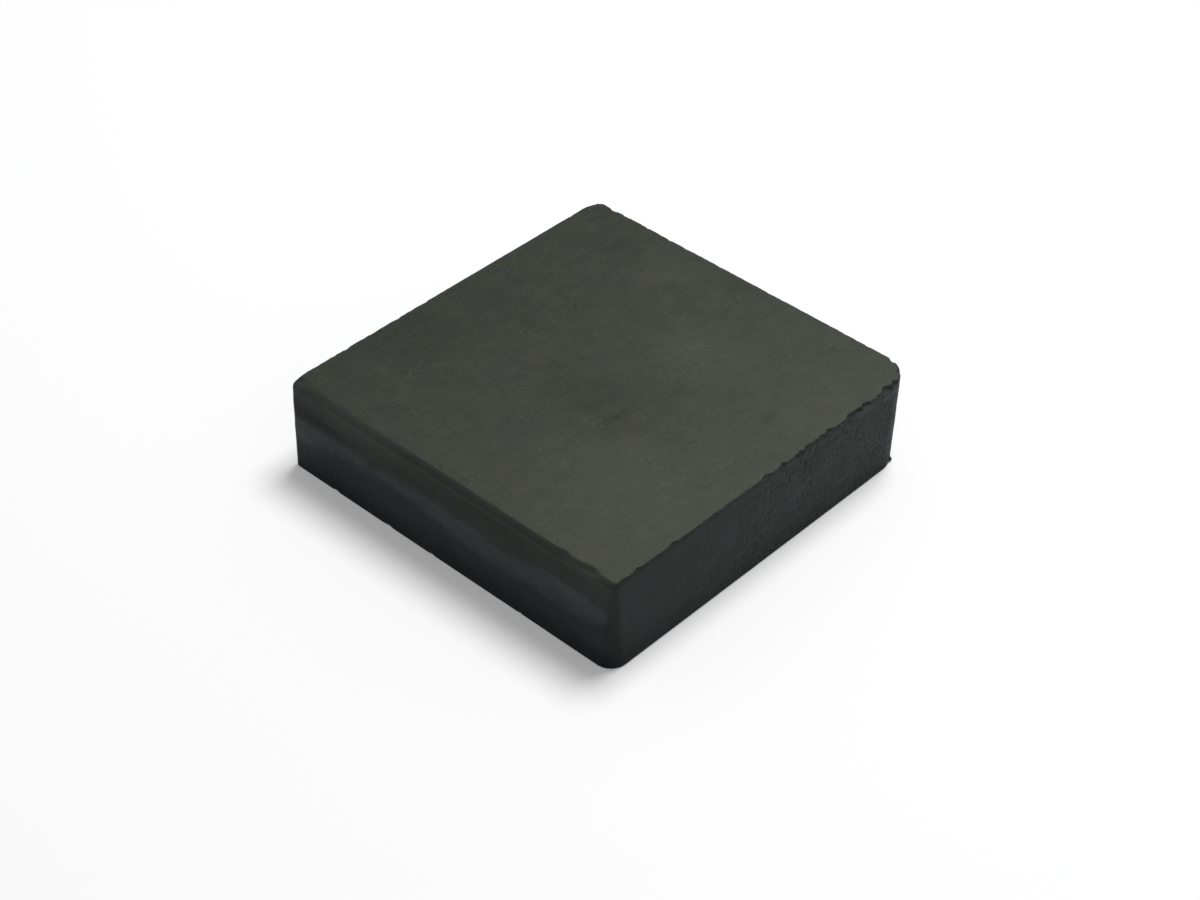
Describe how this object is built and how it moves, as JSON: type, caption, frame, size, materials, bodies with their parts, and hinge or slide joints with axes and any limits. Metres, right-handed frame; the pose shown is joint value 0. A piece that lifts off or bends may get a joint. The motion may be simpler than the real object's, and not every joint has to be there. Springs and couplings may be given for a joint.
{
  "type": "block magnet",
  "caption": "Square block magnet of dark sintered ferrite, ground flat on both pole faces, with rounded upright corners and chipped, worn edges.",
  "frame": {"origin": "middle of the lower pole face", "axes": "+Z through the thickness, from pole face to pole face, which is the direction of magnetisation; +X along the length; +Y across the width"},
  "size_m": [0.04, 0.04, 0.01],
  "materials": {
    "ferrite": "matte"
  },
  "bodies": {
    "root": {"magnet_block": "ferrite"}
  },
  "joints": []
}
